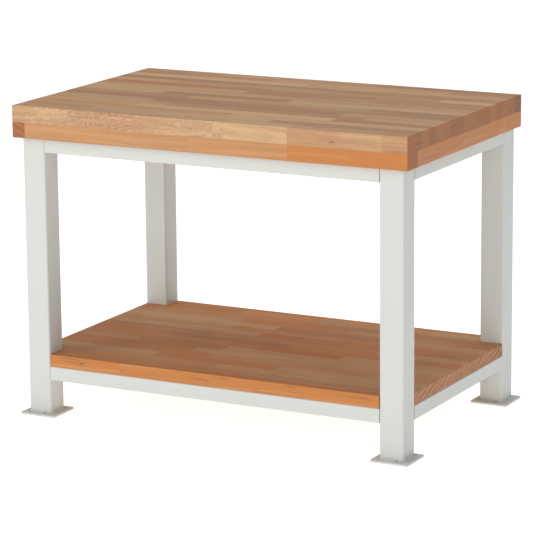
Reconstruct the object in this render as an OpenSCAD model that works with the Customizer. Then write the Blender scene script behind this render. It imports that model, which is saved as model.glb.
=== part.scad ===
// Heavy work table: a laminated beech worktop and a beech shelf on a frame of square steel tube.
// The two end frames are welded. The front and back rails slip over stubs on the legs and are bolted
// from inside, and the screws into the wood sit inside the rails, so no fastener shows from outside.
// Millimetres, +Z up, +X to the right, front towards -Y. The origin is on the floor, midway between the legs.

/* [Overall] */
// Width of the worktop from left to right
top_w = 1200; // [900:10:2000]
// Depth of the worktop from front to back
top_d = 750; // [600:10:1000]
// Height of the working surface above the floor
top_h = 880; // [750:5:1050]

/* [Worktop] */
// Thickness of the upper beech slab
slab_t = 46; // [25:1:70]
// Thickness of the layer that is glued under it
core_t = 44; // [25:1:70]
// Width of the battens that edge the lower layer at the left and right
end_batten_w = 40; // [25:1:80]
// Width of the battens that edge the lower layer at the front and back
side_batten_w = 62; // [55:1:90]
// Chamfer along the outer edges of the wood
wood_chamfer = 1.5; // [0.5:0.5:4]
// How far the worktop stands out beyond the frame at the front
overhang_front = 20; // [0:1:60]
// How far it stands out at the back
overhang_back = 0; // [0:1:60]
// How far it stands out at each side
overhang_side = 20; // [0:1:60]

/* [Frame] */
// Outer width of the square leg tube
leg_w = 70; // [60:5:100]
// Wall of the leg tube
leg_wall = 3; // [2:0.5:5]
// Outer corner radius of the leg tube
leg_r = 5; // [3:0.5:8]
// Outer width of the square rail tube
rail_w = 40; // [35:1:50]
// Wall of the rail tube
rail_wall = 2.5; // [2:0.5:4]
// Outer corner radius of the rail tube
rail_r = 3.5; // [2:0.5:6]
// Slit between the end of a bolted rail and the leg
rail_end_gap = 0.5; // [0.2:0.1:2]
// Thickness of the plate that closes the top of a leg
cap_t = 4; // [3:1:8]
// Slit between that plate and the wall of the leg
cap_gap = 0.2; // [0.1:0.1:0.5]
// Vent hole in that plate
cap_vent_d = 10; // [4:1:16]

/* [Feet] */
// How far the foot plate stands out round the leg
plate_margin = 20; // [16:1:40]
// Thickness of the foot plate
plate_t = 6; // [4:1:12]
// Corner radius of the foot plate
plate_r = 6; // [4:1:14]
// Diameter of the floor anchor holes
anchor_d = 11; // [7:1:14]
// Distance from an anchor hole's centre to the edges of the plate
anchor_inset = 10; // [9:1:20]
// Height and width of the weld round the leg
foot_weld = 4; // [2:0.5:6]
// Radius of the drain notch at the bottom of the leg's front wall
drain_r = 3; // [2:0.5:5]
// Distance of the notch from the middle of the leg, towards the right
drain_offset = 15; // [0:1:20]

/* [Shelf] */
// Thickness of the shelf
shelf_t = 35; // [25:1:50]
// Height of the shelf's upper face above the floor
shelf_h = 178; // [130:1:400]
// Slit between the shelf and the legs in the corner notches
notch_gap = 1.5; // [0.5:0.5:5]
// How far the shelf's edges stand back from the outer faces of the rails
shelf_setback = 1; // [0:0.5:5]

/* [Rail joints] */
// Length of the stub that is welded to a leg
stub_len = 70; // [60:1:90]
// Free play of the stub inside the rail, on every side but the bolted one
stub_gap = 0.3; // [0.1:0.1:0.5]
// Distance between the two bolts of a joint
bolt_pitch = 30; // [24:1:40]
// Thread diameter of the bolts
bolt_d = 8; // [6:1:10]
// Length of the bolts under the head
bolt_len = 18; // [14:1:25]
// Width across the flats of the bolt and screw heads
head_af = 13; // [11:1:16]
// Height of the bolt and screw heads
head_h = 5.3; // [4:0.1:7]
// Outer diameter of the washers
washer_d = 17; // [15:1:22]
// Thickness of the washers
washer_t = 1.6; // [1:0.1:3]
// Size of the weld beads between the side rails and the legs
rail_weld = 3; // [2:0.5:4]

/* [Screws into the wood] */
// Shank diameter of the wood screws
screw_d = 8; // [5:0.5:9]
// Length of the worktop screws under the head
top_screw_len = 35; // [28:1:45]
// Length of the shelf screws under the head
shelf_screw_len = 28; // [22:1:35]
// Distance of the outer screws from the leg
screw_inset = 160; // [100:5:250]
// Extra diameter of a hole that a bolt or screw passes through
hole_play = 1; // [0.5:0.1:2]
// Extra diameter of a hole that a thread bites in
thread_play = 0.1; // [0.05:0.05:0.2]
// Extra diameter of the hole in a rail's lower wall that a screw and its washer go in by
access_play = 2; // [1:0.5:4]

/* [Hidden] */
$fn = 48;
// How far a cut runs on past the face that it opens
cut = 1;
frame_w = top_w - 2 * overhang_side;
frame_d = top_d - overhang_front - overhang_back;
bay_w = frame_w - 2 * leg_w;
bay_d = frame_d - 2 * leg_w;
top_front = -frame_d / 2 - overhang_front;
top_back = frame_d / 2 + overhang_back;
slab_z = top_h - slab_t;
frame_h = slab_z - core_t;
leg_len = frame_h - plate_t;
plate_w = leg_w + 2 * plate_margin;
shelf_z = shelf_h - shelf_t;
upper_z = frame_h - rail_w;
lower_z = shelf_z - rail_w;
rail_in = rail_w - 2 * rail_wall;
stub_w = rail_in - 2 * stub_gap;
stub_r = max(rail_r - rail_wall, 0.5) + 2 * stub_gap;
screw_spots = [-(bay_w / 2 - screw_inset), 0, bay_w / 2 - screw_inset];
bolt_spots = [stub_len / 2 - bolt_pitch / 2, stub_len / 2 + bolt_pitch / 2];

STEEL = "gainsboro";
ZINC = "silver";
BEECH = "burlywood";
BEECH_SHELF = "sandybrown";

// Each corner has a name and the signs of its x and y
CORNERS = [["front_left", -1, -1], ["front_right", 1, -1], ["back_left", -1, 1], ["back_right", 1, 1]];
// Each long side of the frame, with the sign of its y, and each end, with the sign of its x
LONG_SIDES = [["front", -1], ["back", 1]];
ENDS = [["left", -1], ["right", 1]];
// Each level of rails, with the height of its lower face
LEVELS = [["upper", upper_z], ["lower", lower_z]];

// ---- shapes that repeat ----

// A square with round corners, centred on the origin
module rounded_square(width, r) {
    square([width - 2 * r, width], center = true);
    square([width, width - 2 * r], center = true);
    for (x = [-1, 1], y = [-1, 1])
        translate([x, y] * (width / 2 - r)) circle(r);
}

// A square tube that stands on the origin
module square_tube(length, width, wall, r)
    linear_extrude(length) difference() {
        rounded_square(width, r);
        rounded_square(width - 2 * wall, max(r - wall, 0.5));
    }

// A board from corner to corner, with a chamfer along every edge
module board(low, high, c = wood_chamfer) {
    size = high - low;
    translate(low) intersection() {
        linear_extrude(size.z) chamfered(size.x, size.y, c);
        translate([0, size.y, 0]) rotate([90, 0, 0]) linear_extrude(size.y) chamfered(size.x, size.z, c);
        rotate([90, 0, 90]) linear_extrude(size.x) chamfered(size.y, size.z, c);
    }
}

module chamfered(w, h, c)
    polygon([[c, 0], [w - c, 0], [w, c], [w, h - c], [w - c, h], [c, h], [0, h - c], [0, c]]);

// A weld bead along x that fills the corner between the planes y = 0 and z = 0, on the -y side
module bead(length, size)
    rotate([90, 0, 90]) linear_extrude(length, center = true) intersection() {
        circle(size);
        translate([-size, 0]) square(size);
    }

// A hexagon head that hangs below the origin, with its shank going up
module bolt(length, tip = 0) {
    translate([0, 0, -head_h]) cylinder(d = head_af / cos(30), h = head_h, $fn = 6);
    cylinder(d = bolt_d, h = length);
}

// A wood screw with the same head and a pointed end
module wood_screw(length) {
    translate([0, 0, -head_h]) cylinder(d = head_af / cos(30), h = head_h, $fn = 6);
    cylinder(d = screw_d, h = length - screw_d);
    translate([0, 0, length - screw_d]) cylinder(d1 = screw_d, d2 = 1, h = screw_d);
}

// A washer for that diameter, lying on the origin
module washer(inner)
    linear_extrude(washer_t) difference() {
        circle(d = washer_d);
        circle(d = inner);
    }

// ---- places ----

// Puts a part on the axis of the leg at a corner
module at_leg(c) translate([c[1] * (frame_w - leg_w) / 2, c[2] * (frame_d - leg_w) / 2, 0]) children();

// Puts a part on the centre line of the front or back rail, at that height
module at_long_rail(s, z) translate([0, s[1] * (frame_d - rail_w) / 2, z]) children();

// Repeats a part at the bolts of the long rails at one level, on their inner faces, with +z pointing out
module at_bolts(z, sides = LONG_SIDES)
    for (s = sides, side = [-1, 1], x = bolt_spots)
        at_long_rail(s, z + rail_w / 2) translate([side * (bay_w / 2 - x), -s[1] * rail_w / 2, 0])
            rotate([-90 * s[1], 0, 0]) children();

// Repeats a part at the wood screws of the long rails at one level, under their upper wall
module at_screws(z, sides = LONG_SIDES)
    for (s = sides, x = screw_spots)
        at_long_rail(s, z + rail_w - rail_wall) translate([x, 0, 0]) children();

// The holes that the wood screws cut in the board above the rails at one level
module screw_holes(z, length)
    at_screws(z) cylinder(d = screw_d + thread_play, h = length - washer_t + cut);

// ---- worktop ----

module worktop_slab()
    color(BEECH) board([-top_w / 2, top_front, slab_z], [top_w / 2, top_back, top_h]);

// The battens go round like a pinwheel: each one covers the end of the next
module worktop_batten_left()
    color(BEECH) board([-top_w / 2, top_front, frame_h], [-top_w / 2 + end_batten_w, top_back - side_batten_w, slab_z]);

module worktop_batten_front()
    color(BEECH) difference() {
        board([-top_w / 2 + end_batten_w, top_front, frame_h], [top_w / 2, top_front + side_batten_w, slab_z]);
        screw_holes(upper_z, top_screw_len);
    }

module worktop_batten_right()
    color(BEECH) board([top_w / 2 - end_batten_w, top_front + side_batten_w, frame_h], [top_w / 2, top_back, slab_z]);

module worktop_batten_back()
    color(BEECH) difference() {
        board([-top_w / 2, top_back - side_batten_w, frame_h], [top_w / 2 - end_batten_w, top_back, slab_z]);
        screw_holes(upper_z, top_screw_len);
    }

module worktop_core()
    color(BEECH) board([-top_w / 2 + end_batten_w, top_front + side_batten_w, frame_h],
                       [top_w / 2 - end_batten_w, top_back - side_batten_w, slab_z]);

// ---- shelf ----

module shelf_board()
    color(BEECH_SHELF) difference() {
        board([-frame_w / 2 + shelf_setback, -frame_d / 2 + shelf_setback, shelf_z],
              [frame_w / 2 - shelf_setback, frame_d / 2 - shelf_setback, shelf_h]);
        for (c = CORNERS)
            at_leg(c) translate([0, 0, shelf_z + shelf_t / 2])
                cube([leg_w + 2 * notch_gap, leg_w + 2 * notch_gap, shelf_t + 2 * cut], center = true);
        screw_holes(lower_z, shelf_screw_len);
    }

// ---- legs and feet ----

module leg()
    color(STEEL) translate([0, 0, plate_t]) difference() {
        square_tube(leg_len, leg_w, leg_wall, leg_r);
        translate([drain_offset, -leg_w / 2 - cut, 0])
            rotate([-90, 0, 0]) cylinder(r = drain_r, h = leg_wall + 2 * cut);
    }

module leg_cap()
    color(STEEL) translate([0, 0, frame_h - cap_t]) linear_extrude(cap_t) difference() {
        rounded_square(leg_w - 2 * leg_wall - 2 * cap_gap, max(leg_r - leg_wall, 0.5));
        circle(d = cap_vent_d);
    }

module foot_plate()
    color(STEEL) linear_extrude(plate_t) difference() {
        rounded_square(plate_w, plate_r);
        for (x = [-1, 1], y = [-1, 1])
            translate([x, y] * (plate_w / 2 - anchor_inset)) circle(d = anchor_d);
    }

// One bead along each face of the leg; the front one is broken at the drain notch
module foot_weld() {
    half = leg_w / 2 - leg_r;
    notch = drain_r + 2;
    color(STEEL) translate([0, 0, plate_t]) {
        for (turn = [90, 180, 270])
            rotate(turn) translate([0, -leg_w / 2, 0]) bead(2 * half, foot_weld);
        translate([(drain_offset - notch - half) / 2, -leg_w / 2, 0]) bead(half + drain_offset - notch, foot_weld);
        translate([(drain_offset + notch + half) / 2, -leg_w / 2, 0]) bead(half - drain_offset - notch, foot_weld);
    }
}

// ---- rails ----

// The stubs of one corner, on the inner face of the leg: each bears on the inner wall of its rail
module rail_stubs(c)
    color(STEEL) for (v = LEVELS) difference() {
        at_long_rail([c[0], c[2]], v[1] + rail_w / 2)
            translate([c[1] * bay_w / 2, -c[2] * stub_gap, 0]) rotate([0, -90 * c[1], 0])
                linear_extrude(stub_len) rounded_square(stub_w, stub_r);
        at_bolts(v[1], [[c[0], c[2]]]) cylinder(d = bolt_d + thread_play, h = bolt_len);
    }

// A front or back rail: bolt holes in its inner wall, screw holes in its upper wall, and wide holes
// in its lower wall for the screws to go in by
module long_rail(s, z)
    color(STEEL) difference() {
        at_long_rail(s, z + rail_w / 2) rotate([0, 90, 0])
            translate([0, 0, -bay_w / 2 + rail_end_gap])
                square_tube(bay_w - 2 * rail_end_gap, rail_w, rail_wall, rail_r);
        at_bolts(z, [s]) translate([0, 0, -cut]) cylinder(d = bolt_d + hole_play, h = rail_wall + 2 * cut);
        at_screws(z, [s]) translate([0, 0, -cut]) cylinder(d = screw_d + hole_play, h = rail_wall + 2 * cut);
        at_screws(z, [s]) translate([0, 0, -rail_w]) cylinder(d = washer_d + access_play, h = rail_wall + 3 * cut);
    }

// A side rail of an end frame, which is welded between two legs
module side_rail(e, z)
    color(STEEL) translate([e[1] * (frame_w - rail_w) / 2, -bay_d / 2, z + rail_w / 2])
        rotate([-90, 0, 0]) square_tube(bay_d, rail_w, rail_wall, rail_r);

// The beads at both ends of both side rails: one up the inner face, one under the lower face
module rail_welds(z) {
    flat = rail_w - 2 * rail_r;
    color(STEEL) for (x = [0, 1], y = [0, 1]) mirror([x, 0, 0]) mirror([0, y, 0]) {
        translate([-frame_w / 2 + rail_w, -bay_d / 2, z + rail_w / 2])
            rotate([0, 90, 0]) mirror([0, 1, 0]) bead(flat, rail_weld);
        translate([-(frame_w - rail_w) / 2, -bay_d / 2, z]) rotate([180, 0, 0]) bead(flat, rail_weld);
    }
}

// ---- fasteners ----

// Puts a fastener down on its washer
module on_washer() translate([0, 0, -washer_t]) children();

module rail_bolts(z) color(ZINC) at_bolts(z) on_washer() bolt(bolt_len);

module rail_washers(z) color(ZINC) at_bolts(z) on_washer() washer(bolt_d + hole_play / 2);

module wood_screws(z, length) color(ZINC) at_screws(z) on_washer() wood_screw(length);

module screw_washers(z) color(ZINC) at_screws(z) on_washer() washer(screw_d + hole_play / 2);

// ---- the table ----

worktop_slab();
worktop_core();
worktop_batten_front();
worktop_batten_back();
worktop_batten_left();
worktop_batten_right();
shelf_board();
for (c = CORNERS) {
    at_leg(c) leg();
    at_leg(c) leg_cap();
    at_leg(c) foot_plate();
    at_leg(c) foot_weld();
    rail_stubs(c);
}
for (v = LEVELS) {
    for (s = LONG_SIDES)
        long_rail(s, v[1]);
    for (e = ENDS)
        side_rail(e, v[1]);
    rail_bolts(v[1]);
    rail_washers(v[1]);
    rail_welds(v[1]);
}
wood_screws(upper_z, top_screw_len);  // worktop_screws
screw_washers(upper_z);  // worktop_screw_washers
wood_screws(lower_z, shelf_screw_len);  // shelf_screws
screw_washers(lower_z);  // shelf_screw_washers
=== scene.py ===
# %% [markdown]
# # A heavy beech work table
# The table has a welded and bolted frame of square steel tube, a thick worktop of two glued beech
# layers, and a beech shelf. The construction model already holds every piece at its real size, so
# this lesson only gives the pieces their looks: wood that is glued up from staves, powder-coated
# steel, rippled welds and zinc-plated bolts. Lengths are metres, the floor is z = 0, x runs to the
# right and the front looks towards -y.

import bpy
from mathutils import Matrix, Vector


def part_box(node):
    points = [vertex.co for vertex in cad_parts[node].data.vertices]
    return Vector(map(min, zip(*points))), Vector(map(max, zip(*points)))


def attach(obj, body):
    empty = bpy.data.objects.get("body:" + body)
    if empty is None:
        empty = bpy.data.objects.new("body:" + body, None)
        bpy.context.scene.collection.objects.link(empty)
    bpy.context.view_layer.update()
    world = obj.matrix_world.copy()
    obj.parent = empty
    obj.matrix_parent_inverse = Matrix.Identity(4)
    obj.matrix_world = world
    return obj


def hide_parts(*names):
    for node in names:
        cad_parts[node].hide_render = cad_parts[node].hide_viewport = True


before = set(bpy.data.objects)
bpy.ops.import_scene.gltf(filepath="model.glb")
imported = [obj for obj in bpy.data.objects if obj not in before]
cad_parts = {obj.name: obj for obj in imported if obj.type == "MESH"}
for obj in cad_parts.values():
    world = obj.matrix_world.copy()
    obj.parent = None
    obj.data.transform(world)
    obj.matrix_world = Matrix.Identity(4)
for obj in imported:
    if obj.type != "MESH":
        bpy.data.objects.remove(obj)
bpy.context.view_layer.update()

# %% Other tools
import math
import random

import bmesh
import bpy
from mathutils import Matrix, Vector, noise

MM = 0.001
CORNERS = ["front_left", "front_right", "back_left", "back_right"]
print("one millimetre is", MM, "m")

# %% [markdown]
# ## Writing a finish as a sum
# A finish is a graph of shader nodes. Placing the nodes one by one hides the idea, so each wire
# between two nodes becomes a small Python object. Adding or multiplying two wires adds the Math node
# that does it, and the formula can be read like any other.

# %% A wire that can be added and multiplied
class Wire:
    """One output of a node. A sum or product with a wire adds a Math node to its finish."""

    def __init__(self, finish, socket):
        self.finish = finish
        self.socket = socket

    def __add__(self, other):
        return self.finish.math("ADD", self, other)

    def __radd__(self, other):
        return self.finish.math("ADD", other, self)

    def __sub__(self, other):
        return self.finish.math("SUBTRACT", self, other)

    def __rsub__(self, other):
        return self.finish.math("SUBTRACT", other, self)

    def __mul__(self, other):
        return self.finish.math("MULTIPLY", self, other)

    def __rmul__(self, other):
        return self.finish.math("MULTIPLY", other, self)

    def __truediv__(self, other):
        return self.finish.math("DIVIDE", self, other)

    def __rtruediv__(self, other):
        return self.finish.math("DIVIDE", other, self)

    def __pow__(self, other):
        return self.finish.math("POWER", self, other)

    def __rpow__(self, other):
        return self.finish.math("POWER", other, self)


print("operators on a wire:", "+ - * / **")

# %% [markdown]
# A finish owns its node tree. Its method `node` makes any node: settings such as a noise's type are
# set first, because they decide which sockets exist, and then each named socket gets a number, a
# colour or a wire. Colours go through a Mix node and vectors through Vector Math.

# %% A finish and its nodes
class Finish:
    """A material that ends in one Principled shader, whose constants are set on its own sockets."""

    def __init__(self, name, **constants):
        self.material = bpy.data.materials.new(name)
        self.material.use_nodes = True
        self.nodes = self.material.node_tree.nodes
        self.links = self.material.node_tree.links
        self.shader = self.nodes["Principled BSDF"]
        for socket, value in constants.items():
            self.shader.inputs[socket.replace("_", " ")].default_value = value

    def node(self, kind, settings=None, sockets=None, output=0):
        made = self.nodes.new("ShaderNode" + kind)
        for setting, value in (settings or {}).items():
            setattr(made, setting, value)
        for socket, value in (sockets or {}).items():
            self.put(value, made.inputs[socket])
        return Wire(self, made.outputs[output])

    def put(self, value, socket):
        if isinstance(value, Wire):
            self.links.new(value.socket, socket)
        else:
            socket.default_value = value

    def math(self, operation, *values, clamp=False):
        settings = {"operation": operation, "use_clamp": clamp}
        return self.node("Math", settings, dict(enumerate(values)))

    def vector(self, operation, *values, output=0):
        return self.node("VectorMath", {"operation": operation}, dict(enumerate(values)), output)

    def mix(self, first, second, share, blend="MIX"):
        settings = {"data_type": "RGBA", "blend_type": blend, "clamp_factor": True}
        return self.node("Mix", settings, {0: share, 6: first, 7: second}, 2)

    def between(self, value, low, high, smooth=True):
        """0 below low, 1 above high, and a slope between them."""
        settings = {"interpolation_type": "SMOOTHSTEP" if smooth else "LINEAR"}
        return self.node("MapRange", settings, {"Value": value, "From Min": low, "From Max": high})

    def noise(self, place, scale, detail=2.0, roughness=0.5):
        sockets = {"Vector": place, "Scale": scale, "Detail": detail, "Roughness": roughness}
        return self.node("TexNoise", {"normalize": True}, sockets)

    def surface(self, **wires):
        for socket, value in wires.items():
            self.put(value, self.shader.inputs[socket.replace("_", " ")])

    def relief(self, height, depth):
        """Turns a height from 0 to 1 into a bump that is that many metres deep."""
        bump = self.node("Bump", {}, {"Strength": 1.0, "Distance": depth, "Height": height})
        self.put(bump, self.shader.inputs["Normal"])


print("a finish has the methods", [name for name in vars(Finish) if not name.startswith("_")])

# %% [markdown]
# ## Powder coat
# The frame is sprayed with light grey powder, which is baked until it flows into one skin. What
# gives it away is a faint orange peel: bumps about 2 mm wide and only some hundredths of a
# millimetre high. The tone is nearly even, a touch duller near the floor, where brooms and shoes
# leave dust in the texture. Noise at three sizes is enough, because a painted skin has no direction.

# %% The light grey coat
POWDER_GREY = (0.590, 0.604, 0.570, 1.0)
POWDER_DULL = (0.490, 0.495, 0.455, 1.0)


def powder_coat():
    coat = Finish("powder_coat_light_grey", IOR=1.5)
    place = coat.node("TexCoord", output=3)
    height = coat.node("SeparateXYZ", {}, {0: place}, 2)
    cloud = coat.noise(place, 7.0, 3.0)
    peel = coat.noise(place, 420.0, 1.0)
    scuff = coat.noise(coat.vector("MULTIPLY", place, (60.0, 60.0, 9.0)), 1.0, 4.0, 0.65)
    low_down = 1.0 - coat.between(height, 0.0, 0.16)
    dust = low_down * 0.25 + coat.between(cloud, 0.45, 0.75) * 0.10 + coat.between(scuff, 0.62, 0.80) * 0.10
    tint = coat.mix(POWDER_GREY, POWDER_DULL, dust)
    coat.surface(Base_Color=tint, Roughness=0.36 + cloud * 0.12 + dust * 0.2)
    coat.relief(peel, 0.05 * MM)
    return coat.material


POWDER = powder_coat()
print("powder coat:", len(POWDER.node_tree.nodes), "nodes")

# %% [markdown]
# ## Zinc plate
# The bolts, screws and washers are plated. Zinc has small grey spangles and is rougher where it was
# tumbled against other bolts. It is a real metal, so Metallic is 1 and only the roughness and the
# tone vary.

# %% The dull silver of the bolts
ZINC_BRIGHT = (0.70, 0.71, 0.72, 1.0)
ZINC_GREY = (0.47, 0.48, 0.50, 1.0)


def zinc_plate():
    zinc = Finish("zinc_plate", Metallic=1.0)
    place = zinc.node("TexCoord", output=3)
    spangle = zinc.node("TexVoronoi", {"feature": "F1"}, {"Vector": place, "Scale": 900.0}, 1)
    spangle = zinc.node("SeparateXYZ", {}, {0: spangle})
    haze = zinc.noise(place, 260.0, 3.0)
    tone = spangle * 0.4 + haze * 0.6
    zinc.surface(Base_Color=zinc.mix(ZINC_BRIGHT, ZINC_GREY, tone), Roughness=0.28 + haze * 0.25)
    zinc.relief(haze, 0.02 * MM)
    return zinc.material


ZINC = zinc_plate()
print("zinc plate:", len(ZINC.node_tree.nodes), "nodes")

# %% [markdown]
# ## Beech
# A plank is a slice of a tree, so its pattern is best drawn in the tree and not on the plank. Every
# stave below carries its own place inside an imaginary log: the attribute `log` holds that point,
# with x along the grain and the pith on the x axis. Rings are then distances from the pith. The
# long sides show them as stripes or flames, and the ends as arcs, and both agree at the corner.
#
# Beech has quiet rings, fine fibres and short brown flecks. The attribute `tone` says how light,
# how red and how wild the grain of a stave is, `knot` measures from the middle of a knot if the
# stave has one, and `cut` is 1 where the saw went across the grain. Such faces drink more oil, so
# they are darker, and the rays that run out from the pith cross them as pale or smoky stripes.
#
# Three things are left to chance. A wild stave shows `flame`, the contour lines of a swirling
# field, which is how curly grain looks once it is planed. Thin dark streaks of `heart` run with the
# grain. And `sway` keeps the rings from being perfect circles.

# %% The colours of steamed and oiled beech
BEECH_PALE = (0.610, 0.396, 0.203, 1.0)
BEECH_TAN = (0.365, 0.190, 0.090, 1.0)
BEECH_RED = (0.530, 0.175, 0.022, 1.0)
BEECH_RING = (0.300, 0.135, 0.052, 1.0)
BEECH_FLECK = (0.200, 0.085, 0.035, 1.0)
BEECH_END = (0.345, 0.108, 0.020, 1.0)
BEECH_SMOKE = (0.190, 0.072, 0.030, 1.0)
BEECH_RAY = (0.640, 0.420, 0.260, 1.0)
KNOT_BROWN = (0.085, 0.035, 0.016, 1.0)
print("pale beech is", BEECH_PALE[:3])

# %% The rings, fibres and flecks
RING = 2.6 * MM


def beech(name, warmth, rays, stain):
    """Beech turned towards red by `warmth`, with `rays` on its ends and dark thin streaks of `stain`."""
    wood = Finish(name, IOR=1.45, Specular_IOR_Level=0.7)
    log = wood.node("Attribute", {"attribute_name": "log"}, output=1)
    tone = wood.node("Attribute", {"attribute_name": "tone"}, output=1)
    cut = wood.node("Attribute", {"attribute_name": "cut"}, output=2)
    knot = wood.node("Attribute", {"attribute_name": "knot"}, output=1)
    light = wood.node("SeparateXYZ", {}, {0: tone}, 0)
    red = wood.node("SeparateXYZ", {}, {0: tone}, 1)
    wild = wood.node("SeparateXYZ", {}, {0: tone}, 2)

    from_knot = wood.vector("LENGTH", wood.vector("MULTIPLY", knot, (0.45, 1.0, 1.0)), output=1)
    near_knot = 1.0 - wood.between(from_knot, 1.0 * MM, 22.0 * MM)
    knot_core = 1.0 - wood.between(from_knot, 1.6 * MM, 4.5 * MM)

    sway = wood.noise(wood.vector("MULTIPLY", log, (2.2, 16.0, 16.0)), 1.0, 2.0) - 0.5
    curl = wood.noise(wood.vector("MULTIPLY", log, (34.0, 42.0, 42.0)), 1.0, 3.0) - 0.5
    across = wood.vector("LENGTH", wood.vector("MULTIPLY", log, (0.0, 1.0, 1.0)), output=1)
    radius = across + sway * (9.0 * MM) + curl * wild * (14.0 * MM) + near_knot * (9.0 * MM)

    year = radius / RING
    ring = wood.math("FRACT", year) ** 3.0
    season = wood.node("TexNoise", {"noise_dimensions": "1D"}, {"W": year, "Scale": 0.23, "Detail": 1.0})
    band = wood.node("TexNoise", {"noise_dimensions": "1D"}, {"W": radius, "Scale": 85.0, "Detail": 2.0})
    fibre = wood.noise(wood.vector("MULTIPLY", log, (14.0, 520.0, 520.0)), 1.0, 3.0, 0.6)
    streak = wood.noise(wood.vector("MULTIPLY", log, (2.5, 75.0, 75.0)), 1.0, 3.0, 0.6)
    fleck = wood.noise(wood.vector("MULTIPLY", log, (230.0, 1500.0, 1500.0)), 1.0, 1.0)
    fleck = wood.between(fleck, 0.66, 0.74)
    cloud = wood.noise(wood.vector("MULTIPLY", log, (9.0, 26.0, 26.0)), 1.0, 2.0)
    heart = wood.noise(wood.vector("MULTIPLY", log, (7.0, 210.0, 210.0)), 1.0, 3.0, 0.6)
    swirl = wood.noise(wood.vector("MULTIPLY", log, (13.0, 30.0, 30.0)), 1.0, 1.0)
    flame = wood.math("PINGPONG", (across + swirl * (75.0 * MM)) / (3.0 * MM), 1.0)
    side, depth = (wood.node("SeparateXYZ", {}, {0: log}, k) for k in (1, 2))
    angle = wood.math("ARCTAN2", depth, side)
    bent = angle + (cloud - 0.5) * 0.12
    ray = wood.node("TexNoise", {"noise_dimensions": "1D"}, {"W": bent, "Scale": 24.0, "Detail": 3.0})

    shade = light + (streak - 0.5) * 1.7 + (cloud - 0.5) * 0.5
    body = wood.mix(BEECH_TAN, BEECH_PALE, wood.between(shade, 0.0, 1.0, False))
    body = wood.mix(body, BEECH_RED, wood.between(red + warmth + (cloud - 0.5) * 0.3, 0.0, 1.0, False))
    line = ring * (0.16 + wild * 0.25) * (0.4 + season)
    line = line + wood.between(band, 0.48, 0.72) * (0.22 + wild * 0.3)
    body = wood.mix(body, BEECH_RING, line)
    body = wood.mix(body, BEECH_RING, wood.between(fibre, 0.45, 0.80) * 0.22)
    body = wood.mix(body, BEECH_PALE, (1.0 - wood.between(band, 0.30, 0.45)) * (0.1 + wild * 0.5))
    body = wood.mix(body, BEECH_RAY, flame ** 2.0 * wood.between(wild, 0.4, 0.9) * 0.50)
    body = wood.mix(body, BEECH_FLECK, fleck * 0.35 * (1.0 - cut))
    body = wood.mix(body, BEECH_FLECK, wood.between(heart, 0.57, 0.70) * stain)
    end = wood.mix(BEECH_END, BEECH_SMOKE, wood.between(ray - light * 0.2, 0.42, 0.66))
    end = wood.mix(end, BEECH_RAY, (1.0 - wood.between(ray, 0.34, 0.52)) * rays)
    end = wood.mix(end, BEECH_SMOKE, ring * 0.45)
    body = wood.mix(body, end, cut * 0.85)
    body = wood.mix(body, BEECH_RING, near_knot * 0.35)
    body = wood.mix(body, KNOT_BROWN, knot_core)
    wood.surface(Base_Color=body, Roughness=0.42 + fibre * 0.16 + cut * 0.12)
    wood.relief(fibre * 0.6 + ring * 0.2 - fleck * 0.4, 0.06 * MM)
    return wood.material


BEECH = beech("beech_worktop", warmth=0.06, rays=0.10, stain=0.22)
BEECH_WARM = beech("beech_shelf", warmth=0.38, rays=1.00, stain=0.80)
print("beech:", len(BEECH.node_tree.nodes), "nodes")

# %% [markdown]
# ## A board glued up from staves
# A butcher block is not one plank. It is made of beech strips about 45 mm wide whose ends butt
# together, with the joints of one row staggered against the next. A picture of stripes on a box
# would look painted, so each stave gets its own faces. A board could also be made of whole closed
# blocks, but the sides between two staves would only waste room, so a stave keeps the faces on the
# outside of its board. The edges that show are rounded like the real board's, and along each glue
# line the faces dip by a hair's breadth. Faces glued to the next board are kept, but not rounded.

# %% One stave
ROUND_OVER = 1.5 * MM
GLUE_LINE = 0.12 * MM


def side_of(face):
    """The axis and the sign of the side of a block that a face looks to, or None if it is slanted."""
    axis = max(range(3), key=lambda i: abs(face.normal[i]))
    if abs(face.normal[axis]) < 0.999:
        return None
    return axis, int(math.copysign(1, face.normal[axis]))


def stave_shape(low, high, shown, kept=()):
    """The faces of a block that are on its shown sides, with its outer edges rounded."""
    bm = bmesh.new()
    middle, size = (low + high) / 2, high - low
    bmesh.ops.create_cube(bm, size=1.0, matrix=Matrix.Translation(middle) @ Matrix.Diagonal((*size, 1.0)))
    outer = [e for e in bm.edges if all(side_of(f) in shown for f in e.link_faces)]
    bmesh.ops.bevel(bm, geom=outer, offset=ROUND_OVER, segments=3, profile=0.5, affect="EDGES")
    bm.normal_update()
    glued = {f for f in bm.faces if side_of(f) and side_of(f) not in shown}
    seam = [e for e in bm.edges if len(glued.intersection(e.link_faces)) == 1]
    bmesh.ops.bevel(bm, geom=seam, offset=GLUE_LINE, segments=1, profile=0.5, affect="EDGES")
    bm.normal_update()
    glued = [f for f in bm.faces if side_of(f) and side_of(f) not in shown and side_of(f) not in kept]
    bmesh.ops.delete(bm, geom=glued, context="FACES")
    bm.verts.index_update()
    bm.normal_update()
    points = [v.co.copy() for v in bm.verts]
    faces = [[v.index for v in f.verts] for f in bm.faces]
    normals = [f.normal.copy() for f in bm.faces]
    bm.free()
    return points, faces, normals


sample = stave_shape(Vector((0, 0, 0)), Vector((0.4, 0.045, 0.045)), {(2, 1), (2, -1)})
print("an inner stave has", len(sample[1]), "faces")

# %% [markdown]
# A board gathers its staves and hands over one mesh with the four attributes. Where a stave was
# sawn from the log is drawn by lot, with a fixed seed so that the board is the same each time: the
# pith lies 50 to 130 mm away in any direction, and the grain runs a degree or so off the edge.

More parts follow.
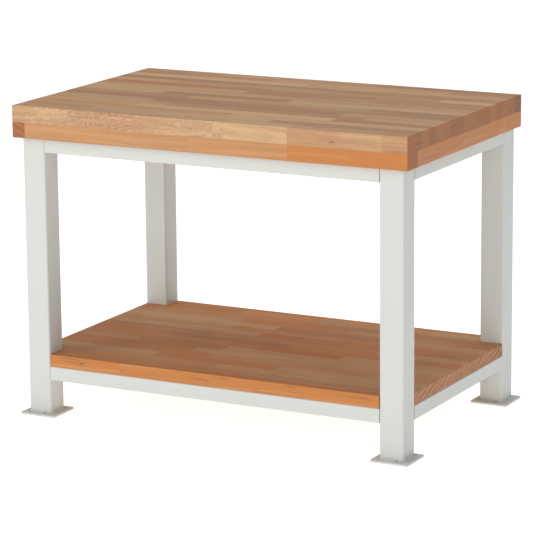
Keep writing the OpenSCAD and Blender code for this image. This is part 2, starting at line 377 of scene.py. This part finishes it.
# %% A board
class Board:
    """Staves that make up one piece of wood. `along` is the axis of the grain: 0 for x, 1 for y.

    With a `lean` in degrees, the rings of all its staves slant about that much."""

    def __init__(self, seed, along, lean=None):
        self.draw = random.Random(seed)
        self.along = along
        self.lean = lean
        self.points, self.faces = [], []
        self.log, self.knot, self.tone, self.cut = [], [], [], []
        self.count = 0

    def stave(self, low, high, shown, tone=None, knot=None, kept=(), pith=None, knot_size=1.0):
        low, high = Vector(low), Vector(high)
        points, faces, normals = stave_shape(low, high, shown, kept)
        middle = (low + high) / 2
        pith = pith or self.draw.uniform(50, 130) * MM
        roll = self.draw.uniform(0, 360) if self.lean is None else self.draw.gauss(self.lean, 9)
        to_log = Matrix.Rotation(math.radians(roll), 3, "X")
        tilt = Matrix.Rotation(math.radians(self.draw.gauss(0, 1.2)), 3, "Z")
        turn = Matrix.Rotation(-math.pi / 2 * self.along, 3, "Z")
        shift = Vector((self.draw.uniform(0, 9), pith, 0))
        first = len(self.points)
        for point in points:
            self.points.append(point)
            self.log.append(to_log @ (tilt @ (turn @ (point - middle))) + shift)
            self.knot.append(turn @ (point - Vector(knot)) / knot_size if knot else Vector((9, 9, 9)))
        tone = tone or (self.draw.gauss(0.50, 0.42), max(0.0, self.draw.gauss(0.14, 0.16)),
                        max(0.0, self.draw.gauss(0.1, 0.15)))
        for face, normal in zip(faces, normals):
            self.faces.append([first + i for i in face])
            self.tone.append(Vector(tone))
            self.cut.append(abs(normal[self.along]))
        self.count += 1

    def piece(self, name, finish, slot, *nodes):
        mesh = bpy.data.meshes.new(name)
        mesh.from_pydata(self.points, [], self.faces)
        for attribute, values in (("log", self.log), ("knot", self.knot)):
            layer = mesh.attributes.new(attribute, "FLOAT_VECTOR", "POINT")
            layer.data.foreach_set("vector", [x for v in values for x in v])
        layer = mesh.attributes.new("tone", "FLOAT_VECTOR", "FACE")
        layer.data.foreach_set("vector", [x for v in self.tone for x in v])
        mesh.attributes.new("cut", "FLOAT", "FACE").data.foreach_set("value", self.cut)
        return add_piece(name, mesh, finish, slot, *nodes)


def add_piece(name, mesh, finish, slot, *nodes):
    """Puts a mesh in the scene as a piece that stands for construction nodes and rides with them."""
    piece = bpy.data.objects.new(name, mesh)
    bpy.context.scene.collection.objects.link(piece)
    mesh.materials.append(finish)
    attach(piece, "root")
    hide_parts(*nodes)
    print(f"{name}: {len(mesh.polygons)} faces")
    return piece


print("a board knows", [name for name in vars(Board) if not name.startswith("_")])

# %% [markdown]
# The joints of a row are drawn by lot too, but never close to those of the row before, because two
# joints side by side would be a weak spot.

# %% Staggered joints
def joints(draw, start, end, shortest, longest, avoid, apart=50 * MM):
    """Places between start and end where the staves of a row meet."""
    while True:
        found = []
        at = start + draw.uniform(0.3, 1.0) * longest
        while at < end - 0.4 * shortest:
            found.append(at)
            at += draw.uniform(shortest, longest)
        if all(abs(a - b) > apart for a in found for b in avoid):
            return found


lot = random.Random(1)
print("joints of one row:", [round(x, 2) for x in joints(lot, 0.0, 1.2, 0.25, 0.5, [])])

# %% [markdown]
# ## The upper slab
# Its rows run from left to right, and each stave goes through the whole thickness. The front row is
# seen most, so its staves are listed one by one: a long stave with curly grain, two paler ones with
# quiet grain and a tiny knot, and a short one at the right.

# %% Lay the upper slab
STAVE = 45 * MM
FRONT_JOINTS = (0.55, 0.71, 0.94)
FRONT_TONES = [(0.42, 0.10, 0.95), (0.78, 0.02, 0.10), (0.45, 0.08, 0.25), (0.34, 0.14, 0.10)]
FRONT_PITHS = [30 * MM, 75 * MM, 60 * MM, 90 * MM]
TINY_KNOT = 0.45


def lay_slab():
    low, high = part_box("worktop_slab")
    board = Board(11, 0)
    rows = round((high.y - low.y) / STAVE)
    width = (high.y - low.y) / rows
    before = []
    for row in range(rows):
        y0, y1 = low.y + row * width, low.y + (row + 1) * width
        if row == 0:
            found = [low.x + share * (high.x - low.x) for share in FRONT_JOINTS]
        else:
            found = joints(board.draw, low.x, high.x, 0.22, 0.62, before)
        ends = [low.x, *found, high.x]
        for k, (x0, x1) in enumerate(zip(ends, ends[1:])):
            shown = {(2, 1)}
            shown |= {(1, -1)} if row == 0 else set()
            shown |= {(1, 1)} if row == rows - 1 else set()
            shown |= {(0, -1)} if x0 == low.x else set()
            shown |= {(0, 1)} if x1 == high.x else set()
            tone, knot, pith = None, None, None
            if row == 0:
                tone, pith = FRONT_TONES[k], FRONT_PITHS[k]
                knot = (x0 + 0.47 * (x1 - x0), y0, low.z + 0.36 * (high.z - low.z)) if k == 2 else None
            board.stave((x0, y0, low.z), (x1, y1, high.z), shown, tone, knot, {(2, -1)}, pith, TINY_KNOT)
        before = found
    print("slab staves:", board.count)
    return board.piece("worktop_slab_staves", BEECH, "beech", "worktop_slab")


lay_slab()

# %% [markdown]
# ## The lower layer
# Under the slab lies a second layer: four battens round a core. The battens overlap like a pinwheel,
# so each corner shows one batten's long side and the next one's end. The front batten is a warm
# orange, and at the far left the left batten's end grain shows beside it.

# %% Lay the battens and the core
def lay_batten(name, along, seed, shares, tones, ends_shown, faces_out, piths=None):
    """One batten, from pieces that are butted together at the given shares of its length."""
    low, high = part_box(name)
    board = Board(seed, along)
    start, length = low[along], high[along] - low[along]
    ends = [start, *(start + share * length for share in shares), high[along]]
    for k, (a, b) in enumerate(zip(ends, ends[1:])):
        shown = {(2, -1)} | faces_out
        shown |= {(along, -1)} if k == 0 and -1 in ends_shown else set()
        shown |= {(along, 1)} if k == len(ends) - 2 and 1 in ends_shown else set()
        pith = piths[k % len(piths)] if piths else None
        glued = {(2, 1), (1 - along, -1), (1 - along, 1)}
        glued |= {(along, -1)} if k == 0 else set()
        glued |= {(along, 1)} if k == len(ends) - 2 else set()
        begin, finish = low.copy(), high.copy()
        begin[along], finish[along] = a, b
        board.stave(begin, finish, shown, tones[k % len(tones)], kept=glued, pith=pith)
    return board.piece(name + "_staves", BEECH, "beech", name)


ORANGE = [(0.50, 0.40, 0.10), (0.46, 0.44, 0.12), (0.34, 0.90, 0.15), (0.30, 0.98, 0.15)]
RUSSET = [
    (0.10, 0.76, 0.39), (0.00, 0.82, 0.39), (0.15, 0.70, 0.39), (0.02, 0.84, 0.39), (0.22, 0.74, 0.39)]
lay_batten("worktop_batten_front", 0, 21, (0.44, 0.70, 0.86), ORANGE, {1}, {(1, -1)}, [0.08, 0.05, 0.07])
lay_batten("worktop_batten_back", 0, 22, (0.28, 0.61, 0.83), ORANGE, {-1}, {(1, 1)})
lay_batten("worktop_batten_left", 1, 23, (0.35, 0.72), RUSSET, {-1}, {(0, -1)})
lay_batten("worktop_batten_right", 1, 24, (0.17, 0.42, 0.66, 0.85), RUSSET, {1}, {(0, 1)})


def lay_core():
    low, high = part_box("worktop_core")
    board = Board(25, 0)
    rows = round((high.y - low.y) / STAVE)
    width = (high.y - low.y) / rows
    before = []
    for row in range(rows):
        before = joints(board.draw, low.x, high.x, 0.22, 0.60, before)
        ends = [low.x, *before, high.x]
        for x0, x1 in zip(ends, ends[1:]):
            low_y = low.y + row * width
            glued = {(2, 1)}
            glued |= {(1, -1)} if row == 0 else set()
            glued |= {(1, 1)} if row == rows - 1 else set()
            glued |= {(0, -1)} if x0 == low.x else set()
            glued |= {(0, 1)} if x1 == high.x else set()
            board.stave((x0, low_y, low.z), (x1, low_y + width, high.z), {(2, -1)}, kept=glued)
    print("core staves:", board.count)
    return board.piece("worktop_core_staves", BEECH, "beech", "worktop_core")


lay_core()

# %% [markdown]
# ## The shelf
# The shelf is a thinner board of the same staves. Its corners are notched round the legs, so the two
# rows at the front and at the back stop short, and the outermost one was trimmed narrower when the
# board was cut to size. Its front row is a warm orange, partly the wood's own tone and partly painted
# bounce light on the front edge, and it has a small dark knot near the left.

# %% Lay the shelf
SHELF_JOINTS = (0.22, 0.77)
# The front row's orange is partly the wood's own tone and partly painted bounce light on the shelf's front
# edge.
SHELF_FRONT_TONES_WITH_BOUNCE = [(0.45, 0.66, 0.25), (0.65, 0.60, 0.20), (0.62, 0.72, 0.10)]
SMALL_KNOT = 0.6
NOTCH_GAP = 1.5 * MM


def notch_reach():
    """How far the notches reach in from the shelf's left and front edges."""
    low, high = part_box("shelf_board")
    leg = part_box("leg_front_left")[1]
    return leg.x + NOTCH_GAP - low.x, leg.y + NOTCH_GAP - low.y


def lay_shelf():
    low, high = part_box("shelf_board")
    reach_x, reach_y = notch_reach()
    middle_rows = round((high.y - low.y - 2 * reach_y) / STAVE)
    width = (high.y - low.y - 2 * reach_y) / middle_rows
    lines = [low.y, low.y + reach_y - width]
    lines += [low.y + reach_y + k * width for k in range(middle_rows + 1)]
    lines += [high.y - reach_y + width, high.y]
    board = Board(31, 0, lean=-30)
    before, last = [], len(lines) - 2
    for row, (y0, y1) in enumerate(zip(lines, lines[1:])):
        short = row < 2 or row > last - 2
        start, end = (low.x + reach_x, high.x - reach_x) if short else (low.x, high.x)
        if row == 0:
            found = [start + share * (end - start) for share in SHELF_JOINTS]
        else:
            found = joints(board.draw, start, end, 0.22, 0.62, before)
        ends = [start, *found, end]
        for k, (x0, x1) in enumerate(zip(ends, ends[1:])):
            shown = {(2, 1), (2, -1)}
            shown |= {(1, -1)} if row == 0 else set()
            shown |= {(1, 1)} if row == last else set()
            shown |= {(0, -1)} if x0 == start else set()
            shown |= {(0, 1)} if x1 == end else set()
            kept = {(1, -1), (1, 1)} if row in (2, last - 2) and (x0 == start or x1 == end) else ()
            light, red = board.draw.gauss(1.00, 0.60), board.draw.gauss(0.22, 0.25)
            tone, knot = (light, max(0.0, red), 0.15), None
            if row == 0:
                # The front row takes the orange tones, which hold painted bounce light as well as wood
                # colour.
                tone = SHELF_FRONT_TONES_WITH_BOUNCE[k]
                knot = (x0 + 0.45 * (x1 - x0), y0, low.z + 0.55 * (high.z - low.z)) if k == 0 else None
            if row == 4 and x0 < 0 < x1:
                knot = (-0.03, (y0 + y1) / 2, high.z)
            board.stave((x0, y0, low.z), (x1, y1, high.z), shown, tone, knot, kept, None, SMALL_KNOT)
        before = found
    print("shelf staves:", board.count)
    return board.piece("shelf_staves", BEECH_WARM, "beech_shelf", "shelf_board")


lay_shelf()

# %% [markdown]
# ## The steel frame
# The tubes of the construction model already have the right walls, corner radii and slits, so they
# stay and only get the coat. The model's normals are exact, so its round corners shade smoothly.

# %% Coat the tubes
coated = [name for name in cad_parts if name.startswith("leg") or "_rail_" in name or "stubs" in name]
coated = [name for name in coated if not name.endswith(("bolts", "washers", "welds"))]
for name in coated:
    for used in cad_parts[name].material_slots:
        used.material = POWDER
print("coated tubes and plates:", len(coated))

# %% [markdown]
# ## The foot plates
# Each plate was cut from 6 mm sheet, with four round holes. A flat curve whose inner loops are holes
# fills itself, and its extrusion and bevel give the thickness and the slightly rounded rims that
# catch the light, which a plain cut would not.

# %% A flat plate from loops
PLATE_RIM = 0.7 * MM


def loop_points(curve, points):
    spline = curve.splines.new("POLY")
    spline.points.add(len(points) - 1)
    for target, (x, y) in zip(spline.points, points):
        target.co = (x, y, 0, 1)
    spline.use_cyclic_u = True


def arc(x, y, radius, start, end, steps):
    """Points on a circle's arc, from one angle in degrees to another."""
    turns = [math.radians(start + (end - start) * k / steps) for k in range(steps + 1)]
    return [(x + radius * math.cos(t), y + radius * math.sin(t)) for t in turns]


def plate_mesh(name, loops, thickness, rim=PLATE_RIM):
    """A plate in the xy plane, centred on it, from an outline and the loops of its holes."""
    curve = bpy.data.curves.new(name, "CURVE")
    curve.dimensions, curve.fill_mode = "2D", "BOTH"
    curve.bevel_depth, curve.bevel_resolution, curve.offset = rim, 2, -rim
    curve.extrude = thickness / 2 - rim
    for points in loops:
        loop_points(curve, points)
    holder = bpy.data.objects.new(name, curve)
    bpy.context.scene.collection.objects.link(holder)
    mesh = bpy.data.meshes.new_from_object(holder.evaluated_get(bpy.context.evaluated_depsgraph_get()))
    bpy.data.objects.remove(holder)
    mesh.shade_smooth()
    mesh.set_sharp_from_angle(angle=math.radians(40))
    return mesh


ring_loops = [arc(0, 0, 8 * MM, 0, 345, 23), arc(0, 0, 4 * MM, 0, 345, 23)]
print("a trial ring has", len(plate_mesh("trial_ring", ring_loops, 1.6 * MM, 0.3 * MM).polygons), "faces")

# %% Place the four foot plates
PLATE_CORNER, ANCHOR_HOLE, ANCHOR_INSET = 6 * MM, 11 * MM, 10 * MM


def foot_plate(corner):
    low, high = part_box("foot_plate_" + corner)
    half = (high.x - low.x) / 2
    straight = half - PLATE_CORNER
    outline = []
    for k, (sx, sy) in enumerate([(1, 1), (-1, 1), (-1, -1), (1, -1)]):
        outline += arc(sx * straight, sy * straight, PLATE_CORNER, 90 * k, 90 * k + 90, 6)
    hole = half - ANCHOR_INSET
    loops = [outline]
    loops += [arc(sx * hole, sy * hole, ANCHOR_HOLE / 2, 0, 345, 23) for sx in (-1, 1) for sy in (-1, 1)]
    mesh = plate_mesh("foot_plate_cut_" + corner, loops, high.z - low.z)
    mesh.transform(Matrix.Translation((low + high) / 2))
    add_piece("foot_plate_cut_" + corner, mesh, POWDER, "powder_coat", "foot_plate_" + corner)


for corner in CORNERS:
    foot_plate(corner)

# %% [markdown]
# ## Welds
# A weld is a row of frozen puddles, each lapping over the last. Modelled as a swept quarter circle
# whose radius swells and sinks every 2 to 3 mm, with a little unevenness and rounded ends, it reads
# as a weld even under the paint.

# %% A rippled bead
PUDDLE = 2.6 * MM


def bead(points, faces, start, along, wall, floor, length, size):
    """A bead from `start`, in the corner between two faces whose outward directions are given."""
    steps, turns = max(12, round(length / (PUDDLE / 5))), 7
    first = len(points)
    for i in range(steps + 1):
        at = length * i / steps
        lap = (at / PUDDLE) % 1.0
        ripple = 0.80 + 0.13 * math.sin(math.pi * lap) ** 0.7
        uneven = 0.07 * noise.noise((start + along * at) * 160)
        taper = min(1.0, math.sqrt(max(0.0, min(at, length - at)) / size) * 0.9 + 0.12)
        for k in range(turns + 1):
            angle = math.pi / 2 * k / turns
            radius = min(1.0, (ripple + uneven) * taper) * size
            outward = wall * math.cos(angle) + floor * math.sin(angle)
            points.append(start + along * at + outward * radius)
        points.append(start + along * at)
    around = turns + 2
    for i in range(steps):
        for k in range(around):
            a, b = first + i * around + k, first + i * around + (k + 1) % around
            faces.append([a, b, b + around, a + around])
    faces.append([first + k for k in reversed(range(around))])
    faces.append([first + steps * around + k for k in range(around)])


def weld_piece(name, beads, *nodes):
    points, faces = [], []
    for one in beads:
        bead(points, faces, *one)
    mesh = bpy.data.meshes.new(name)
    mesh.from_pydata(points, [], faces)
    bm = bmesh.new()
    bm.from_mesh(mesh)
    bmesh.ops.recalc_face_normals(bm, faces=bm.faces)
    bm.to_mesh(mesh)
    bm.free()
    mesh.shade_smooth()
    mesh.set_sharp_from_angle(angle=math.radians(50))
    add_piece(name, mesh, POWDER, "powder_coat", *nodes)


print("puddles along 60 mm:", round(60 * MM / PUDDLE))

# %% [markdown]
# A bead runs along each face of a leg where it stands on its plate. The front one is broken at the
# drain notch. The side rails have a bead up their inner face and one along their lower face.

# %% Weld the feet and the side rails
LEG_CORNER, RAIL_CORNER, FOOT_BEAD, RAIL_BEAD = 5 * MM, 3.5 * MM, 4 * MM, 3 * MM
DRAIN_AT, DRAIN_GAP = 15 * MM, 5 * MM
RIGHT, BACK, UP = Vector((1, 0, 0)), Vector((0, 1, 0)), Vector((0, 0, 1))


def foot_beads(corner):
    low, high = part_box("leg_" + corner)
    middle = (low + high) / 2
    middle.z = low.z
    half = (high.x - low.x) / 2
    run = half - LEG_CORNER
    beads = []
    for out, along in ((RIGHT, BACK), (BACK, RIGHT), (-RIGHT, BACK)):
        beads.append((middle + out * half - along * run, along, out, UP, 2 * run, FOOT_BEAD))
    front = middle - BACK * half
    beads.append((front - RIGHT * run, RIGHT, -BACK, UP, run + DRAIN_AT - DRAIN_GAP, FOOT_BEAD))
    beyond = DRAIN_AT + DRAIN_GAP
    beads.append((front + RIGHT * beyond, RIGHT, -BACK, UP, run - beyond, FOOT_BEAD))
    return beads


def rail_beads(level):
    beads = []
    for side, inward in (("left", RIGHT), ("right", -RIGHT)):
        low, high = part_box(f"{level}_rail_{side}")
        run = high.z - low.z - 2 * RAIL_CORNER
        inner = high.x if side == "left" else low.x
        for y, away in ((low.y, BACK), (high.y, -BACK)):
            beads.append((Vector((inner, y, low.z + RAIL_CORNER)), UP, inward, away, run, RAIL_BEAD))
            beads.append((Vector((low.x + RAIL_CORNER, y, low.z)), RIGHT, -UP, away, run, RAIL_BEAD))
    return beads


for corner in CORNERS:
    weld_piece("foot_bead_" + corner, foot_beads(corner), "foot_weld_" + corner)
for level in ("upper", "lower"):
    weld_piece(level + "_rail_beads", rail_beads(level), level + "_rail_welds")

# %% [markdown]
# ## Bolts, screws and washers
# They sit on the inner faces and inside the rails, but a table is also looked at from below. A hexagon
# head is not a plain prism: a cone cuts its corners, which leaves a round face with six curved
# flats. So the head is three rings of points, where the middle ring rises at the corners, and three
# more rings below them make the shank.

# %% A forged bolt and its washer
HEAD_ROUND = 0.94
SHANK, SHANK_TIP = 4 * MM, 1 * MM


def bolt_rings(middle, out, across_flats, height, length, around=48):
    """Six rings, from the tip of the shank to its top, and from the head's seat on `middle` to its face."""
    first = out.orthogonal().normalized()
    second = out.cross(first)
    flat = across_flats / 2
    circle = flat * HEAD_ROUND
    rings = [[], [], [], [], [], []]
    for k in range(around):
        turn = math.tau * k / around
        to_flat = (turn % (math.pi / 3)) - math.pi / 6
        reach = flat / math.cos(to_flat)
        drop = height - (reach - circle) * math.tan(math.radians(30))
        direction = first * math.cos(turn) + second * math.sin(turn)
        rings[0].append(middle + direction * (SHANK - SHANK_TIP) - out * length)
        rings[1].append(middle + direction * SHANK - out * (length - SHANK_TIP))
        rings[2].append(middle + direction * SHANK)
        rings[3].append(middle + direction * reach)
        rings[4].append(middle + direction * reach + out * drop)
        rings[5].append(middle + direction * circle + out * height)
    return rings


def bolts_mesh(name, seats, across_flats, height, node):
    """Bolts on their seats. Each is as long as the construction node's bolts, which end at its box."""
    points, faces = [], []
    for middle, out in seats:
        first = len(points)
        length = max((middle - corner).dot(out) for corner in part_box(node))
        rings = bolt_rings(middle, out, across_flats, height, length)
        around = len(rings[0])
        points += [p for ring in rings for p in ring]
        for r in range(len(rings) - 1):
            for k in range(around):
                a, b = first + r * around + k, first + r * around + (k + 1) % around
                faces.append([a, b, b + around, a + around])
        faces.append([first + (len(rings) - 1) * around + k for k in range(around)])
        faces.append([first + k for k in reversed(range(around))])
    mesh = bpy.data.meshes.new(name)
    mesh.from_pydata(points, [], faces)
    mesh.shade_smooth()
    mesh.set_sharp_from_angle(angle=math.radians(24))
    return mesh


def washer_seats(node):
    """For each washer in a node: the middle of the side that its bolt's head sits on, and the way out."""
    bm = bmesh.new()
    bm.from_mesh(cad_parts[node].data)
    bmesh.ops.remove_doubles(bm, verts=bm.verts, dist=0.001 * MM)
    left, seats = set(bm.verts), []
    while left:
        island, edge = set(), [left.pop()]
        while edge:
            vert = edge.pop()
            island.add(vert)
            near = {e.other_vert(vert) for e in vert.link_edges} & left
            left -= near
            edge += near
        low = Vector(min(v.co[i] for v in island) for i in range(3))
        high = Vector(max(v.co[i] for v in island) for i in range(3))
        middle, size = (low + high) / 2, high - low
        out = -UP if size.z < size.y else BACK * -math.copysign(1, middle.y)
        seats.append((middle + out * min(size) / 2, out))
    bm.free()
    print(node, "holds", len(seats))
    return sorted(seats, key=lambda seat: tuple(seat[0]))


# %% Place the fasteners
HEAD_WIDTH, HEAD_HEIGHT = 13 * MM, 5.3 * MM
WASHER_OUT, WASHER_IN, WASHER_THICK = 17 * MM, 8.5 * MM, 1.6 * MM


def washers_mesh(name, seats):
    loops = [arc(0, 0, WASHER_OUT / 2, 0, 350, 35), arc(0, 0, WASHER_IN / 2, 0, 350, 35)]
    one = plate_mesh(name + "_one", loops, WASHER_THICK, 0.25 * MM)
    bm = bmesh.new()
    for seat, out in seats:
        moved = one.copy()
        turn = UP.rotation_difference(out).to_matrix().to_4x4()
        moved.transform(Matrix.Translation(seat - out * WASHER_THICK / 2) @ turn)
        bm.from_mesh(moved)
        bpy.data.meshes.remove(moved)
    mesh = bpy.data.meshes.new(name)
    bm.to_mesh(mesh)
    bm.free()
    return mesh


FASTENERS = [
    ("upper_rail_bolts", "upper_rail_washers"), ("lower_rail_bolts", "lower_rail_washers"),
    ("worktop_screws", "worktop_screw_washers"), ("shelf_screws", "shelf_screw_washers")]
for screws, washers in FASTENERS:
    seats = washer_seats(washers)
    bolts = bolts_mesh(screws + "_forged", seats, HEAD_WIDTH, HEAD_HEIGHT, screws)
    add_piece(screws + "_forged", bolts, ZINC, "zinc", screws)
    add_piece(washers + "_rounded", washers_mesh(washers, seats), ZINC, "zinc", washers)

# %% [markdown]
# ## Floor and light
# The table stands in a light tent. Its floor runs out of sight and glows a little by itself, as the
# lit cloth of a tent does. One soft light is low in front and reaches the back legs, one at the left
# reaches the shelf, one overhead is for the worktop, and a small one at the right brightens the
# rounded steel edges. The even surround is dimmer than the floor, so that the oiled top keeps its
# colour at a flat angle instead of mirroring white.

# %% The pale floor
FLOOR_GREY = (0.50, 0.50, 0.50, 1.0)
FLOOR_GLOW = 0.86
FLOOR_REACH = 60.0
FLOOR_DROP = 0.3 * MM


def pale_floor():
    finish = Finish("studio_floor", Base_Color=FLOOR_GREY, Roughness=0.9, Emission_Strength=FLOOR_GLOW)
    finish.shader.inputs["Emission Color"].default_value = (1.0, 1.0, 1.0, 1.0)
    mesh = bpy.data.meshes.new("studio_floor")
    around = [(x * FLOOR_REACH, y * FLOOR_REACH, 0) for x, y in ((-1, -1), (1, -1), (1, 1), (-1, 1))]
    mesh.from_pydata(around, [], [(0, 1, 2, 3)])
    floor = bpy.data.objects.new("studio_floor", mesh)
    floor.location.z = -FLOOR_DROP
    bpy.context.scene.collection.objects.link(floor)
    mesh.materials.append(finish.material)
    print("floor is", 2 * FLOOR_REACH, "m wide")


pale_floor()

# %% Surround and soft light
SURROUND = 0.36
TABLE_MIDDLE = Vector((0.0, 0.0, 0.45))


def soft_light(name, azimuth, elevation, distance, size, power):
    """A square light that looks at the table. Azimuth 0 is straight in front, 90 to the right."""
    data = bpy.data.lights.new(name, "AREA")
    data.shape, data.size, data.energy = "SQUARE", size, power
    lamp = bpy.data.objects.new(name, data)
    a, e = math.radians(azimuth), math.radians(elevation)
    direction = Vector((math.sin(a) * math.cos(e), -math.cos(a) * math.cos(e), math.sin(e)))
    lamp.location = TABLE_MIDDLE + direction * distance
    lamp.rotation_mode = "QUATERNION"
    lamp.rotation_quaternion = (-direction).to_track_quat("-Z", "Y")
    bpy.context.scene.collection.objects.link(lamp)
    print(name, "at", [round(x, 2) for x in lamp.location])


world = bpy.data.worlds.new("surround")
bpy.context.scene.world = world
world.use_nodes = True
world.node_tree.nodes["Background"].inputs["Color"].default_value = (1.0, 1.0, 1.0, 1.0)
world.node_tree.nodes["Background"].inputs["Strength"].default_value = SURROUND
soft_light("front_softbox", azimuth=6.0, elevation=16.0, distance=9.0, size=4.0, power=200.0)
soft_light("left_softbox", azimuth=-48.0, elevation=28.0, distance=7.0, size=3.0, power=122.0)
soft_light("side_softbox", azimuth=58.0, elevation=30.0, distance=6.0, size=0.8, power=26.0)
soft_light("overhead_softbox", azimuth=180.0, elevation=70.0, distance=5.0, size=3.0, power=78.0)

# %% [markdown]
# ## Camera
# The table is seen from its front right, a little from above and from far away, through a long lens
# that hardly makes lines converge.

# %% Place the camera
CAMERA_AZIMUTH, CAMERA_ELEVATION, CAMERA_ROLL = 27.85, 12.60, -0.53
CAMERA_DISTANCE, CAMERA_ASIDE = 8.011, -8.8 * MM
CAMERA_TARGET = Vector((0.0, -0.010, 0.4072))
LENS, SENSOR = 193.0, 36.0


def place_camera():
    a, e, roll = (math.radians(x) for x in (CAMERA_AZIMUTH, CAMERA_ELEVATION, CAMERA_ROLL))
    back = Vector((math.sin(a) * math.cos(e), -math.cos(a) * math.cos(e), math.sin(e)))
    right = Vector((math.cos(a), math.sin(a), 0))
    up = back.cross(right)
    rolled_right = right * math.cos(roll) + up * math.sin(roll)
    rolled_up = up * math.cos(roll) - right * math.sin(roll)
    data = bpy.data.cameras.new("camera")
    data.lens, data.sensor_width = LENS, SENSOR
    data.clip_start, data.clip_end = 0.1, 200.0
    camera = bpy.data.objects.new("camera", data)
    spot = CAMERA_TARGET + back * CAMERA_DISTANCE + right * CAMERA_ASIDE
    turn = Matrix((rolled_right, rolled_up, back)).transposed()
    camera.matrix_world = Matrix.Translation(spot) @ turn.to_4x4()
    bpy.context.scene.collection.objects.link(camera)
    bpy.context.scene.camera = camera
    print("camera at", [round(x, 3) for x in spot])


place_camera()
bpy.context.scene.view_settings.view_transform = "Standard"

# %% [markdown]
